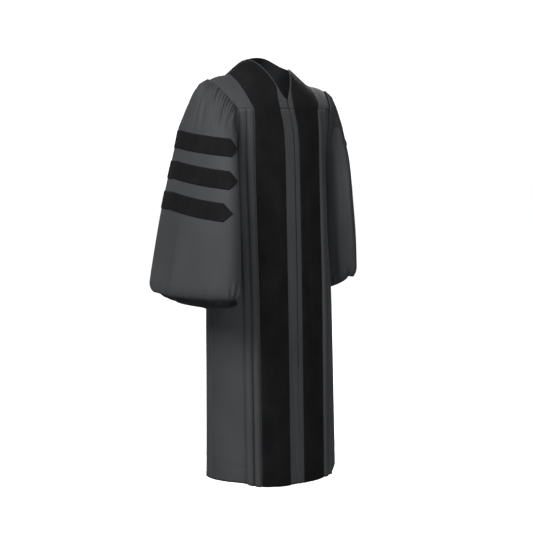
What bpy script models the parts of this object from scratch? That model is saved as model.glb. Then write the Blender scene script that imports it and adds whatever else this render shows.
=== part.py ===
"""Graduation gown with velvet bands and sleeve bars, in its worn shape with no wearer.

Metres, +Z up. The origin lies between the shoulders, level with the side neck points.
The gown faces -Y, so its own right side is at -X. Lengths run down from the shoulders.
"""
import math
from collections import namedtuple

import bmesh
import bpy
from mathutils import Vector

# Cloth and seams
CLOTH = 0.0020
VELVET = 0.0012
TAPE = 0.0010
SEAM_GAP = 0.0003
LAY_GAP = 0.0007
BAR_GAP = 0.0010
MERGE = 0.00002

# Heights
SEAM_Z = -0.155
ARMHOLE_BOTTOM_Z = -0.290
HEM_Z = -1.314
HEM_SIDE_RISE = 0.050
HEM_TILT = 0.035

# Body sections: superellipses with their own depth at the front and at the back
BODY_ROUND = 2.3
BodySection = namedtuple("BodySection", "z half_width front back")
BODY = (
    BodySection(-0.155, 0.232, 0.110, 0.122),
    BodySection(-0.290, 0.196, 0.119, 0.128),
    BodySection(-0.500, 0.202, 0.123, 0.131),
    BodySection(-0.750, 0.221, 0.127, 0.135),
    BodySection(-1.314, 0.234, 0.131, 0.140),
)
PANEL_ROWS_BELOW_SEAM = (0.0, 0.030, 0.070, 0.135, 0.245, 0.400, 0.600, 0.850, 1.159)

# Shoulders and neck
RIDGE_TOP_Z = 0.024
RIDGE_SLOPE = 0.48
RIDGE_ROUNDING = 0.030
RIDGE_SETBACK = 0.0015
LEFT_SHOULDER_DROP = 0.028
DROP_START_X = 0.020
DROP_RUN = 0.085
RIDGE_DIP = 0.016
RIDGE_DIP_X = 0.142
RIDGE_DIP_SPREAD = 0.042
NECK_HALF_WIDTH = 0.085
V_BOTTOM_ANGLE = 16.6
V_CURVE = {-1: 0.706, 1: 1.1}
NAPE_ANGLE = 26.0
YOKE_FRONT_ROUND = 1.3
YOKE_BACK_ROUND = 2.0
YOKE_ANGLES = (0.0, 4.0, 10.0, V_BOTTOM_ANGLE, 22.0, 30.0, 42.0, 56.0, 72.0, 85.0, 90.0)

# Armholes
ARM_SEAM_X = 0.182
SHOULDER_X = 0.226
ARM_COLUMNS = 7
SIDE_SEAM_STEP = 0.97
BACK_ARM_STEPS = 6
BACK_SEAM_STEPS = 8
YOKE_BACK_SHARES = (0.32, 0.68, 0.96, 1.0)
YOKE_FRONT_SHARES = (0.33, 0.67, 1.0)

# Front opening and zip
CLOSURE_X = 0.007
LEAN = 0.0145
LEAN_Z = -0.138
LEAN_HEIGHT = 0.055
LEAN_SPREAD = 0.100
ZIP_GAP = 0.004
MEETING_GAP = 0.001
ZIP_TOP_Z = -0.137
ZIP_END_Z = -0.950
TAPE_WIDTH = 0.014
CHAIN_WIDTH = 0.003
CHAIN_THICKNESS = 0.0016

# Velvet bands: x of the inner and outer edges on each front, and round the back neck
Band = namedtuple("Band", "inner outer")
BANDS = {-1: Band(0.031, 0.128), 1: Band(0.024, 0.116)}
BAND_STEPS = 3
NECK_EDGE = 0.004
BAND_SHOULDER_X = 0.150
BAND_NECK_ANGLE = 27.5
BAND_BACK_ANGLE = 55.0

# Flutes: convex rolls between sharp grooves
FLUTE_RISE = 0.0065
FLUTE_ROUND = 0.8
FLUTE_TOP_SHARE = 0.45
FLUTE_GROWTH = 0.120
FLUTE_STEPS = 4
FRONT_FLUTE = 0.0215
BAND_TO_FLUTE = 0.0020
FRONT_FLUTES = 2
BACK_FLUTE = 0.028
BACK_GROOVES = 6
SIDE_X = 0.1735

# Sleeves: ellipses down each sleeve, for the right side and the left
SleeveSection = namedtuple("SleeveSection", "z x y across along")
SLEEVES = {
    -1: (
        SleeveSection(-0.210, 0.244, -0.014, 0.063, 0.118),
        SleeveSection(-0.320, 0.268, -0.028, 0.061, 0.149),
        SleeveSection(-0.440, 0.283, -0.027, 0.069, 0.169),
        SleeveSection(-0.560, 0.2965, -0.027, 0.077, 0.187),
        SleeveSection(-0.700, 0.313, -0.029, 0.086, 0.204),
    ),
    1: (
        SleeveSection(-0.210, 0.238, 0.038, 0.055, 0.092),
        SleeveSection(-0.320, 0.2605, 0.048, 0.052, 0.116),
        SleeveSection(-0.440, 0.268, 0.059, 0.056, 0.134),
        SleeveSection(-0.560, 0.2785, 0.074, 0.062, 0.150),
        SleeveSection(-0.700, 0.2916, 0.098, 0.068, 0.164),
    ),
}
HEAD_Z = -0.210
UNDERARM_HEAD_Z = -0.315
LOWER_SLEEVE_Z = -0.580
CUFF_Z = {-1: -0.704, 1: -0.694}
CUFF_BACK_DROP = 0.052
CUFF_DROP_ANGLE = -168.0
HEAD_ROWS = (0.0, 0.05, 0.16, 0.36, 0.64)
HEAD_PUFF = 0.62
INWARD_START = 95.0
INWARD_RUN = 70.0
LAP_RUN = 60.0
SEAM_LAP = 0.0025
UNDERARM_LAP = 0.0010

# Gathers in the sleeve head, and soft folds at the cuff's hidden side
GATHERS = 20
GATHER_REACH = 108.0
GATHER_FADE = 25.0
GATHER_RISE = 0.005
GATHER_SEAM_SHARE = 0.35
GATHER_SWELL = 0.12
CUFF_FOLDS = 9
CUFF_FOLD_DEPTH = 0.007
CUFF_FOLD_START = 112.0
CUFF_FOLD_RUN = 22.0
INNER_COLUMNS = 12

# Sleeve bars
BAR_Z = (-0.252, -0.343, -0.434)
BAR_TILT = 0.13
BAR_LEVEL_RUN = -0.060
BAR_HALF_HEIGHT = 0.0265
BarEnds = namedtuple("BarEnds", "back front")
BAR_ENDS = {
    -1: (BarEnds(-0.190, 0.177), BarEnds(-0.190, 0.190), BarEnds(-0.190, 0.190)),
    1: (BarEnds(-0.165, 0.085), BarEnds(-0.165, 0.085), BarEnds(-0.165, 0.085)),
}
BAR_POINT = 0.026
BAR_TURN = 0.25

# Colours, roughness and metallic values
Look = namedtuple("Look", "colour roughness metallic")
LOOKS = {
    "charcoal_cloth": Look((0.055, 0.056, 0.060, 1.0), 0.75, 0.0),
    "black_velvet": Look((0.006, 0.006, 0.007, 1.0), 0.95, 0.0),
    "zip_tape": Look((0.012, 0.012, 0.013, 1.0), 0.85, 0.0),
    "zip_chain": Look((0.020, 0.020, 0.022, 1.0), 0.40, 0.0),
}


def smooth(t):
    """Ease from 0 to 1."""
    t = min(max(t, 0.0), 1.0)
    return t * t * (3.0 - 2.0 * t)


def mix(a, b, t):
    return a + (b - a) * t


def section_at(table, z):
    """The row of a table of sections at height z, on a smooth curve through its rows."""
    last = len(table) - 2
    i = 0
    while i < last and z < table[i + 1].z:
        i += 1
    rows = (table[max(i - 1, 0)], table[i], table[i + 1], table[min(i + 2, last + 1)])
    span = rows[2].z - rows[1].z
    t = min(max((z - rows[1].z) / span, 0.0), 1.0)
    values = []
    for before, start, end, after in zip(*rows):
        leave = (end - before) / max(rows[0].z - rows[2].z, 1e-9) * -span
        arrive = (after - start) / max(rows[1].z - rows[3].z, 1e-9) * -span
        curve = (2 * t**3 - 3 * t**2 + 1) * start + (t**3 - 2 * t**2 + t) * leave
        curve += (3 * t**2 - 2 * t**3) * end + (t**3 - t**2) * arrive
        values.append(curve)
    return type(table[0])(*values)


def depth_at(x, half_width, depth):
    """Depth of a superellipse section at x."""
    share = min(abs(x) / half_width, 1.0) ** BODY_ROUND
    return depth * (1.0 - share) ** (1.0 / BODY_ROUND)


def front_gap(z):
    """Width of the gap between the fronts."""
    return ZIP_GAP if z > ZIP_END_Z else MEETING_GAP


def opening_edge(side, z):
    """Distance of a front's edge from the middle, towards its own side."""
    return side * CLOSURE_X + front_gap(z) / 2.0


def flute_grooves(side, face):
    """The grooves of one side, at the front (face -1) or at the back (face 1)."""
    if face < 0:
        start = BANDS[side].outer + BAND_TO_FLUTE
        return [start + FRONT_FLUTE * i for i in range(FRONT_FLUTES + 1)]
    return [BACK_FLUTE * (i - 0.5) for i in range(BACK_GROOVES + 1)]


def flute_rise(side, face, column, z):
    """Height of the flutes over the plain section."""
    grown = mix(FLUTE_TOP_SHARE, 1.0, smooth((SEAM_Z - z) / FLUTE_GROWTH))
    grooves = flute_grooves(side, face)
    for start, end in zip(grooves, grooves[1:]):
        if start < column < end:
            t = (column - start) / (end - start)
            return FLUTE_RISE * grown * math.sin(math.pi * t) ** FLUTE_ROUND
    return 0.0


def lean(x, z):
    """Sideways shift of the fronts, which hang a little askew round the foot of the neck."""
    height = math.exp(-(((z - LEAN_Z) / LEAN_HEIGHT) ** 2))
    return -LEAN * height * math.exp(-((x / LEAN_SPREAD) ** 2))


def plain_body_point(side, face, column, z):
    """A point of the body. Columns up to SIDE_X are x, and past it they add 0 to 1 to the side seam."""
    section = section_at(BODY, z)
    depth = section.front if face < 0 else section.back
    x = min(column, SIDE_X)
    y = depth_at(x, section.half_width, depth)
    if column > SIDE_X:
        turn = math.asin((SIDE_X / section.half_width) ** (BODY_ROUND / 2.0))
        angle = mix(turn, math.pi / 2.0, column - SIDE_X)
        x = section.half_width * math.sin(angle) ** (2.0 / BODY_ROUND)
        y = depth * max(math.cos(angle), 0.0) ** (2.0 / BODY_ROUND)
    shift = lean(x, z) if face < 0 else 0.0
    return Vector((side * x + shift, face * y, z))


def body_normal(side, face, column, z):
    """Outward direction of the plain body."""
    if column > SIDE_X + 0.999:
        return Vector((side, 0.0, 0.0))
    step = 0.0005
    ahead = plain_body_point(side, face, column + step, z)
    behind = plain_body_point(side, face, column - step, z)
    normal = (ahead - behind).cross(Vector((0.0, 0.0, 1.0))).normalized()
    outward = plain_body_point(side, face, column, z)
    return normal if normal.dot(outward) > 0.0 else -normal


def body_point(side, face, column, z, out=0.0):
    """A point of the fluted body, moved out."""
    rise = flute_rise(side, face, column, z) + out
    return plain_body_point(side, face, column, z) + body_normal(side, face, column, z) * rise


def arm_column(step):
    """Column of the armhole's edge below the chest seam, from the seam (0) to the side (1)."""
    half_width = BODY[0].half_width
    turn = math.asin((SIDE_X / half_width) ** (BODY_ROUND / 2.0))
    start = math.asin((ARM_SEAM_X / half_width) ** (BODY_ROUND / 2.0))
    share = (start - turn) / (math.pi / 2.0 - turn)
    return SIDE_X + mix(share, 1.0, 1.0 - math.cos(math.pi / 2.0 * step))


def arm_edge_z(step):
    return SEAM_Z - (SEAM_Z - ARMHOLE_BOTTOM_Z) * math.sin(math.pi / 2.0 * step)


def panel_columns(side, face):
    """Columns of one side of a panel with the height of their top ends."""
    grooves = flute_grooves(side, face)
    columns = []
    if face < 0:
        band = BANDS[side]
        columns.append(opening_edge(side, SEAM_Z))
        columns += [mix(band.inner, band.outer, i / BAND_STEPS) for i in range(BAND_STEPS + 1)]
    for start, end in zip(grooves, grooves[1:]):
        columns += [mix(start, end, i / FLUTE_STEPS) for i in range(FLUTE_STEPS)]
    columns.append(grooves[-1])
    columns = [(column, SEAM_Z) for column in columns]
    steps = [i / ARM_COLUMNS for i in range(ARM_COLUMNS)] + [SIDE_SEAM_STEP, 1.0]
    return columns + [(arm_column(step), arm_edge_z(step)) for step in steps]


def hem_z(side, x):
    """Height of the hem, which rises to the sides and dips a little to the left."""
    return HEM_Z + HEM_SIDE_RISE * (x / BODY[-1].half_width) ** 4 - side * HEM_TILT * x


def panel_z(side, x, top, below):
    """Height of a panel's row: below is the row's depth under the chest seam."""
    return mix(top, hem_z(side, x), below / PANEL_ROWS_BELOW_SEAM[-1])


def panel_row(side, face, below):
    """One row of one side of a panel, from the middle to the side seam."""
    row = []
    for i, (column, top) in enumerate(panel_columns(side, face)):
        x = abs(plain_body_point(side, face, column, top).x)
        z = panel_z(side, x, top, below)
        if face < 0 and i == 0:
            column = opening_edge(side, z)
        point = body_point(side, face, column, z)
        if column > SIDE_X + 0.999:
            point.y += face * SEAM_GAP / 2.0
        row.append(point)
    return row


def ridge_z(side, x):
    """Height of the shoulder line."""
    run = math.hypot(x, RIDGE_ROUNDING) - RIDGE_ROUNDING
    drop = LEFT_SHOULDER_DROP * smooth((side * x - DROP_START_X) / DROP_RUN)
    dip = RIDGE_DIP * math.exp(-(((x - RIDGE_DIP_X) / RIDGE_DIP_SPREAD) ** 2))
    return RIDGE_TOP_Z - RIDGE_SLOPE * run - drop - dip


def yoke_point(side, x, angle, out=0.0):
    """A point of the yoke: angle 0 at the chest seam, 90 on the shoulder, 180 at the back seam."""
    front = angle <= 90.0
    depth = BODY[0].front if front else BODY[0].back
    power = 2.0 / (YOKE_FRONT_ROUND if front else YOKE_BACK_ROUND)
    face = -1 if front else 1
    forward = abs(math.cos(math.radians(angle))) ** power
    up = abs(math.sin(math.radians(angle))) ** power
    y = face * depth_at(x, BODY[0].half_width, depth) * forward
    z = mix(SEAM_Z + 2.0 * SEAM_GAP, ridge_z(side, abs(x)), up)
    shift = lean(x, z) if front else 0.0
    point = Vector((side * x + shift, y, z))
    if out:
        point += yoke_normal(side, x, angle) * out
    return point


def yoke_normal(side, x, angle):
    """Outward direction of the yoke."""
    step = 0.4
    low = max(angle - step, 0.0)
    high = min(angle + step, 180.0)
    along = yoke_point(side, x, high) - yoke_point(side, x, low)
    across = yoke_point(side, x + 0.0005, angle) - yoke_point(side, x - 0.0005, angle)
    normal = along.cross(across).normalized()
    outward = yoke_point(side, x, angle) - Vector((0.0, 0.0, -0.25))
    return normal if normal.dot(outward) > 0.0 else -normal


def arm_x(angle):
    """Distance of the yoke's armhole edge from the middle."""
    power = 2.0 / YOKE_FRONT_ROUND
    return mix(ARM_SEAM_X, SHOULDER_X, math.sin(math.radians(angle)) ** power)


def neck_x(side, angle):
    """Distance of the front neck edge from the middle."""
    edge = opening_edge(side, SEAM_Z)
    share = max(angle - V_BOTTOM_ANGLE, 0.0) / (90.0 - V_BOTTOM_ANGLE)
    return mix(edge, NECK_HALF_WIDTH, share ** V_CURVE[side])


def yoke_front_columns(side, angle):
    """Distances from the middle across a front yoke: neck edge, band, then the armhole."""
    band = BANDS[side]
    inner = max(neck_x(side, angle) + NECK_EDGE, band.inner)
    outer = mix(band.outer, BAND_SHOULDER_X, math.sin(math.radians(angle)))
    columns = [neck_x(side, angle)]
    columns += [mix(inner, outer, i / BAND_STEPS) for i in range(BAND_STEPS + 1)]
    columns += [mix(outer, arm_x(angle), t) for t in YOKE_FRONT_SHARES]
    return columns


def yoke_back_columns(step, steps):
    """Pairs of x and angle across the back yoke, from the neck edge out, at one step round."""
    turn = math.pi / 2.0 * step / steps
    rings = [(NECK_HALF_WIDTH, NAPE_ANGLE)]
    for i in range(BAND_STEPS + 1):
        t = i / BAND_STEPS
        inner_x = NECK_HALF_WIDTH + NECK_EDGE
        rings.append((mix(inner_x, BAND_SHOULDER_X, t), mix(BAND_NECK_ANGLE, BAND_BACK_ANGLE, t)))
    pairs = [(x * math.cos(turn), 90.0 + angle * math.sin(turn)) for x, angle in rings]
    if step <= BACK_ARM_STEPS:
        angle = 90.0 + 90.0 * step / BACK_ARM_STEPS
        edge = (arm_x(angle), angle)
    else:
        edge = (ARM_SEAM_X * (steps - step) / BACK_SEAM_STEPS, 180.0)
    start = pairs[-1]
    pairs += [(mix(start[0], edge[0], t), mix(start[1], edge[1], t)) for t in YOKE_BACK_SHARES]
    return pairs


def armhole_point(side, turn, out=0.0):
    """A point of the armhole's edge: turn 0 on the shoulder, 90 at the chest seam, 180 underarm."""
    turn = (turn + 180.0) % 360.0 - 180.0
    face = -1 if turn > 0.0 else 1
    if abs(turn) <= 90.0:
        angle = 90.0 - turn
        return yoke_point(side, arm_x(angle), angle, out)
    step = (abs(turn) - 90.0) / 90.0
    return body_point(side, face, arm_column(step), arm_edge_z(step), out)


def plain_sleeve_point(side, turn, level):
    """A point of the sleeve. Level 0 to 1 is the head, and below it levels are heights."""
    turn = (turn + 180.0) % 360.0 - 180.0
    radians = math.radians(turn)
    inward = smooth((abs(turn) - INWARD_START) / INWARD_RUN)
    head_z = mix(HEAD_Z, UNDERARM_HEAD_Z, inward)
    cuff_z = CUFF_Z[side] - CUFF_BACK_DROP * max(math.cos(math.radians(turn - CUFF_DROP_ANGLE)), 0.0)
    lap = mix(UNDERARM_LAP, SEAM_LAP, smooth((180.0 - abs(turn)) / LAP_RUN))
    start = armhole_point(side, turn, lap)
    if level >= 0.0:
        z = mix(start.z, head_z, level)
    else:
        z = mix(head_z, cuff_z, (level - HEAD_Z) / (CUFF_Z[side] - HEAD_Z))
    section = section_at(SLEEVES[side], min(z, HEAD_Z))
    x = side * (section.x + section.across * math.cos(radians))
    y = section.y - section.along * math.sin(radians)
    spread = level ** HEAD_PUFF if level >= 0.0 else 1.0
    return Vector((mix(start.x, x, spread), mix(start.y, y, spread), z))


def sleeve_normal(side, turn, level):
    """Outward direction of the sleeve."""
    step = 0.02 if level >= 0.0 else -0.004
    near = max(level - step, 0.002) if level >= 0.0 else level - step
    along = plain_sleeve_point(side, turn, level + step) - plain_sleeve_point(side, turn, near)
    if level > 0.97:
        along = plain_sleeve_point(side, turn, 1.0) - plain_sleeve_point(side, turn, 0.96)
    across = plain_sleeve_point(side, turn + 1.0, level) - plain_sleeve_point(side, turn - 1.0, level)
    normal = along.cross(across).normalized()
    return -side * normal


def sleeve_relief(side, turn, level):
    """Height of the gathers in the head, and depth of the folds at the cuff."""
    turn = (turn + 180.0) % 360.0 - 180.0
    if level >= 0.0:
        reach = smooth((GATHER_REACH - abs(turn)) / GATHER_FADE)
        swell = mix(GATHER_SEAM_SHARE, 1.0, smooth(level / GATHER_SWELL)) * (1.0 - smooth(level))
        wave = 0.5 + 0.5 * math.cos(math.radians(GATHERS * turn))
        return GATHER_RISE * reach * swell * wave
    inner = smooth((abs(turn) - CUFF_FOLD_START) / CUFF_FOLD_RUN)
    lower = smooth((HEAD_Z - level) / (HEAD_Z - CUFF_Z[side]))
    wave = 0.5 - 0.5 * math.cos(math.radians(CUFF_FOLDS * turn))
    return -CUFF_FOLD_DEPTH * inner * lower * wave


def sleeve_point(side, turn, level, out=0.0):
    """A point of the gathered sleeve, moved out."""
    lift = sleeve_relief(side, turn, level) + out
    if not lift:
        return plain_sleeve_point(side, turn, level)
    return plain_sleeve_point(side, turn, level) + sleeve_normal(side, turn, level) * lift


def sleeve_turns():
    """Columns round a sleeve: four to a gather, and wider ones at the underarm."""
    step = 360.0 / GATHERS / 4.0
    outer = int(GATHER_REACH / step)
    turns = [step * i for i in range(-outer, outer + 1)]
    inner = 360.0 - 2.0 * GATHER_REACH
    turns += [GATHER_REACH + inner * i / INNER_COLUMNS for i in range(1, INNER_COLUMNS)]
    return turns


def sleeve_levels(side):
    levels = list(HEAD_ROWS) + [HEAD_Z]
    for bar in BAR_Z:
        levels += [bar + BAR_HALF_HEIGHT, bar - BAR_HALF_HEIGHT]
    return levels + [LOWER_SLEEVE_Z, CUFF_Z[side]]


def material(name):
    """The Principled material of one cloth."""
    made = bpy.data.materials.get(name)
    if made:
        return made
    look = LOOKS[name]
    made = bpy.data.materials.new(name)
    made.use_nodes = True
    made.diffuse_color = look.colour
    shader = made.node_tree.nodes["Principled BSDF"]
    shader.inputs["Base Color"].default_value = look.colour
    shader.inputs["Roughness"].default_value = look.roughness
    shader.inputs["Metallic"].default_value = look.metallic
    return made


def make_wall(name, grid, inside, thickness, look, outward=False, closed=False):
    """A wall: an open surface through a grid of points, given its thickness by Solidify."""
    mesh = bpy.data.meshes.new(name)
    shape = bmesh.new()
    rows = [[shape.verts.new(point) for point in row] for row in grid]
    for near, far in zip(rows, rows[1:]):
        for i in range(len(near) if closed else len(near) - 1):
            j = (i + 1) % len(near)
            shape.faces.new((near[i], near[j], far[j], far[i]))
    bmesh.ops.remove_doubles(shape, verts=shape.verts, dist=MERGE)
    bmesh.ops.triangulate(shape, faces=shape.faces, quad_method="SHORT_EDGE")
    shape.normal_update()
    facing = sum(f.normal.dot(f.calc_center_median() - inside) * f.calc_area() for f in shape.faces)
    if facing < 0.0:
        bmesh.ops.reverse_faces(shape, faces=shape.faces)
    shape.to_mesh(mesh)
    shape.free()
    wall = bpy.data.objects.new(name, mesh)
    gown.objects.link(wall)
    wall.data.materials.append(material(look))
    solid = wall.modifiers.new("thickness", "SOLIDIFY")
    solid.thickness = thickness
    solid.offset = 1.0 if outward else -1.0
    mesh.shade_smooth()
    return wall


def make_front_panel(side, label):
    grid = [panel_row(side, -1, below) for below in PANEL_ROWS_BELOW_SEAM]
    make_wall("front_panel_" + label, grid, BODY_MIDDLE, CLOTH, "charcoal_cloth")


def make_back_panel():
    grid = []
    for below in PANEL_ROWS_BELOW_SEAM:
        right = panel_row(-1, 1, below)
        left = [point for point in panel_row(1, 1, below) if point.x > 0.0]
        right = [point for point in right if point.x < 0.0]
        grid.append(right[::-1] + left)
    make_wall("back_panel", grid, BODY_MIDDLE, CLOTH, "charcoal_cloth")


def yoke_front_grid(side, first, last, out=0.0):
    """Rows of a front yoke up to the shoulder seam, with the columns from first to last."""
    grid = []
    for angle in YOKE_ANGLES:
        row = [yoke_point(side, x, angle, out) for x in yoke_front_columns(side, angle)[first:last]]
        for point in row:
            point.y -= RIDGE_SETBACK * (angle / 90.0) ** 16 if not out else 0.0
        grid.append(row)
    return grid


def yoke_back_grid(side, first, last, out=0.0):
    """Rows of one side of the back yoke, from the shoulder seam round to the centre back."""
    steps = BACK_ARM_STEPS + BACK_SEAM_STEPS
    grid = []
    for step in range(steps + 1):
        pairs = yoke_back_columns(step, steps)[first:last]
        row = [yoke_point(side, x, max(angle, 90.01), out) for x, angle in pairs]
        for point in row:
            point.y += RIDGE_SETBACK / 2.0 if step == 0 and not out else 0.0
        grid.append(row)
    return grid


def make_yokes():
    for side, label in SIDES:
        grid = yoke_front_grid(side, 0, None)
        make_wall("yoke_front_" + label, grid, YOKE_MIDDLE, CLOTH, "charcoal_cloth")
    grid = yoke_back_grid(-1, 0, None) + yoke_back_grid(1, 0, None)[-2::-1]
    make_wall("yoke_back", grid, YOKE_MIDDLE, CLOTH, "charcoal_cloth")


def make_band(side, label):
    """A velvet band on the front panel, the front yoke and the back yoke's neck."""
    band = BANDS[side]
    columns = [mix(band.inner, band.outer, i / BAND_STEPS) for i in range(BAND_STEPS + 1)]
    grid = []
    for below in PANEL_ROWS_BELOW_SEAM[:0:-1]:
        row = [body_point(side, -1, x, panel_z(side, x, SEAM_Z, below), LAY_GAP) for x in columns]
        grid.append(row)
    grid += yoke_front_grid(side, 1, BAND_STEPS + 2, LAY_GAP)
    back = yoke_back_grid(side, 1, BAND_STEPS + 2, LAY_GAP)[1:]
    for point in back[-1]:
        point.x = side * SEAM_GAP / 2.0
    make_wall("velvet_band_" + label, grid + back, YOKE_MIDDLE, VELVET, "black_velvet", outward=True)


def make_sleeve(side, label):
    turns = sleeve_turns()
    grid = [[sleeve_point(side, turn, level) for turn in turns] for level in sleeve_levels(side)]
    make_wall("sleeve_" + label, grid, sleeve_middle(side), CLOTH, "charcoal_cloth", closed=True)


def sleeve_middle(side):
    section = section_at(SLEEVES[side], BAR_Z[1])
    return Vector((side * section.x, section.y, BAR_Z[1]))


def level_at(side, turn, z):
    """The sleeve's level at height z."""
    top = plain_sleeve_point(side, turn, 0.0).z
    head = plain_sleeve_point(side, turn, HEAD_Z).z
    foot = plain_sleeve_point(side, turn, CUFF_Z[side]).z
    if z >= head:
        return (z - top) / (head - top)
    return mix(HEAD_Z, CUFF_Z[side], (z - head) / (foot - head))


def bar_columns(side, height, ends):
    """Turns of a bar's columns with their run from the sleeve's outer line."""
    columns = []
    for way, end in ((-1, -ends.back), (1, ends.front)):
        run = 0.0
        turn = 0.0
        at = plain_sleeve_point(side, 0.0, height)
        stops = [end - BAR_POINT, end]
        grid_turns = [abs(t - 360.0 if t > 180.0 else t) for t in sleeve_turns()]
        while stops:
            turn += way * BAR_TURN
            ahead = plain_sleeve_point(side, turn, height)
            run += (ahead - at).length
            at = ahead
            if run >= stops[0]:
                columns.append((turn, way * stops.pop(0)))
            elif any(abs(abs(turn) - t) < BAR_TURN / 10.0 for t in grid_turns):
                columns.append((turn, way * run))
    columns.append((0.0, 0.0))
    return sorted(columns)


def make_bar(side, label, number):
    """A velvet bar across a sleeve, lower at the front, with a point at each end."""
    height = BAR_Z[number - 1]
    ends = BAR_ENDS[side][number - 1]
    columns = bar_columns(side, height, ends)
    grid = []
    for share in (1.0, 0.0, -1.0):
        row = []
        for turn, run in columns:
            left = min(run - ends.back, ends.front - run)
            half = BAR_HALF_HEIGHT * min(max(left, 0.0) / BAR_POINT, 1.0)
            middle = height - BAR_TILT * max(run, BAR_LEVEL_RUN)
            level = level_at(side, turn, middle + share * half)
            row.append(sleeve_point(side, turn, level, BAR_GAP))
        grid.append(row)
    name = "sleeve_bar_%s_%d" % (label, number)
    make_wall(name, grid, sleeve_middle(side), VELVET, "black_velvet", outward=True)


def centre_front_y(z):
    """Distance forward of the cloth at the front opening."""
    if z <= SEAM_Z:
        return section_at(BODY, z).front
    up = (z - SEAM_Z) / (ridge_z(1, 0.0) - SEAM_Z)
    sine = up ** (YOKE_FRONT_ROUND / 2.0)
    return BODY[0].front * math.sqrt(1.0 - sine * sine) ** (2.0 / YOKE_FRONT_ROUND)


def make_zip():
    """Tapes behind the two fronts, and the closed chain between them."""
    heights = [ZIP_TOP_Z, SEAM_Z] + [SEAM_Z - below for below in PANEL_ROWS_BELOW_SEAM[1:-2]] + [ZIP_END_Z]
    behind = CLOTH + LAY_GAP
    inner = CHAIN_WIDTH / 2.0 + SEAM_GAP
    strips = (
        ("zip_tape_right", -TAPE_WIDTH, -inner, TAPE),
        ("zip_tape_left", inner, TAPE_WIDTH, TAPE),
        ("zip_chain", -CHAIN_WIDTH / 2.0, CHAIN_WIDTH / 2.0, CHAIN_THICKNESS),
    )
    for name, start, end, thickness in strips:
        grid = []
        for z in heights:
            y = -centre_front_y(z) + behind
            middle = CLOSURE_X + lean(CLOSURE_X, z)
            grid.append([Vector((middle + x, y, z)) for x in (start, end)])
        look = "zip_chain" if name == "zip_chain" else "zip_tape"
        make_wall(name, grid, BODY_MIDDLE, thickness, look)


BODY_MIDDLE = Vector((0.0, 0.0, -0.7))
YOKE_MIDDLE = Vector((0.0, 0.0, -0.25))
SIDES = ((-1, "right"), (1, "left"))

for old in list(bpy.data.objects):
    bpy.data.objects.remove(old, do_unlink=True)
gown = bpy.data.collections.new("graduation_gown")
bpy.context.scene.collection.children.link(gown)

make_yokes()
make_back_panel()
for side, label in SIDES:
    make_front_panel(side, label)
    make_band(side, label)
    make_sleeve(side, label)
    for number in range(1, len(BAR_Z) + 1):
        make_bar(side, label, number)
make_zip()
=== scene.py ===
"""Looks of the graduation gown: fine cloth, velvet, gathers, hems, stitching and zip.

Metres, +Z up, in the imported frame. The gown faces -Y, and its own right side is at -X.
The sizes and the surfaces are those of the CAD source, worked out here on fine grids.
"""
import math
from collections import namedtuple

import bmesh
import bpy
import numpy as np
from mathutils import Matrix, Vector


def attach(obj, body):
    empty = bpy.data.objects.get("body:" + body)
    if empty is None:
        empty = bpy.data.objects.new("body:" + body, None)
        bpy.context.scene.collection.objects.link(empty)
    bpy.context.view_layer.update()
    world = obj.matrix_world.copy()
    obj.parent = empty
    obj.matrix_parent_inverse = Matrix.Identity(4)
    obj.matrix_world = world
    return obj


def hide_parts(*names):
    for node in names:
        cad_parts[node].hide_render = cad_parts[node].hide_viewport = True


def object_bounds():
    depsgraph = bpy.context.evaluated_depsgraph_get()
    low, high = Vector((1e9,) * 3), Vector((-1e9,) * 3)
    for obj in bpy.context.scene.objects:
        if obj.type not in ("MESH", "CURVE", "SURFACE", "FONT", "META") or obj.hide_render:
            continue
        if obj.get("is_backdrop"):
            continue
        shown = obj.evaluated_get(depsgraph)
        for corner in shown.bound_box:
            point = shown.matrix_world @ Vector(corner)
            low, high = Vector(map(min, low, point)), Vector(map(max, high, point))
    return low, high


# Thickness of the shells, and gaps
CLOTH = 0.0012
VELVET = 0.0012
TAPE = 0.0010
SEAM_GAP = 0.0003
LAY_GAP = 0.0007
BAR_GAP = 0.0010

# Heights of seams and hem
SEAM_Z = -0.155
ARMHOLE_BOTTOM_Z = -0.290
HEM_Z = -1.314
HEM_SIDE_RISE = 0.050
HEM_SIDE_POWER = 4
HEM_TILT = 0.035
HEM_LINE = 0.052

# Body sections: superellipses with their own depth at the front and at the back
BODY_ROUND = 2.3
BODY_DROP = 1.159
BodySection = namedtuple("BodySection", "z half_width front back")
BODY = (
    BodySection(-0.155, 0.232, 0.110, 0.122),
    BodySection(-0.290, 0.196, 0.119, 0.128),
    BodySection(-0.500, 0.202, 0.123, 0.131),
    BodySection(-0.750, 0.221, 0.127, 0.135),
    BodySection(-1.314, 0.234, 0.131, 0.140),
)

# Shoulders and neck
RIDGE_TOP_Z = 0.024
RIDGE_SLOPE = 0.48
RIDGE_ROUNDING = 0.030
RIDGE_SETBACK = 0.0015
RIDGE_SETBACK_POWER = 16
LEFT_SHOULDER_DROP = 0.028
DROP_START_X = 0.020
DROP_RUN = 0.085
RIDGE_DIP = 0.016
RIDGE_DIP_X = 0.142
RIDGE_DIP_SPREAD = 0.042
NECK_HALF_WIDTH = 0.085
LEFT_NECK_SINK = 0.012
NECK_SINK_X = 0.062
NECK_SINK_ANGLE = 70.0
NECK_SINK_SPREAD = (0.022, 20.0)
V_BOTTOM_ANGLE = 16.6
V_CURVE = {-1: 0.706, 1: 1.1}
NAPE_ANGLE = 26.0
YOKE_FRONT_ROUND = 1.3
YOKE_BACK_ROUND = 2.0

# Armholes
ARM_SEAM_X = 0.182
SHOULDER_X = 0.226
BACK_ARM_STEPS = 6
BACK_SEAM_STEPS = 8

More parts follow.
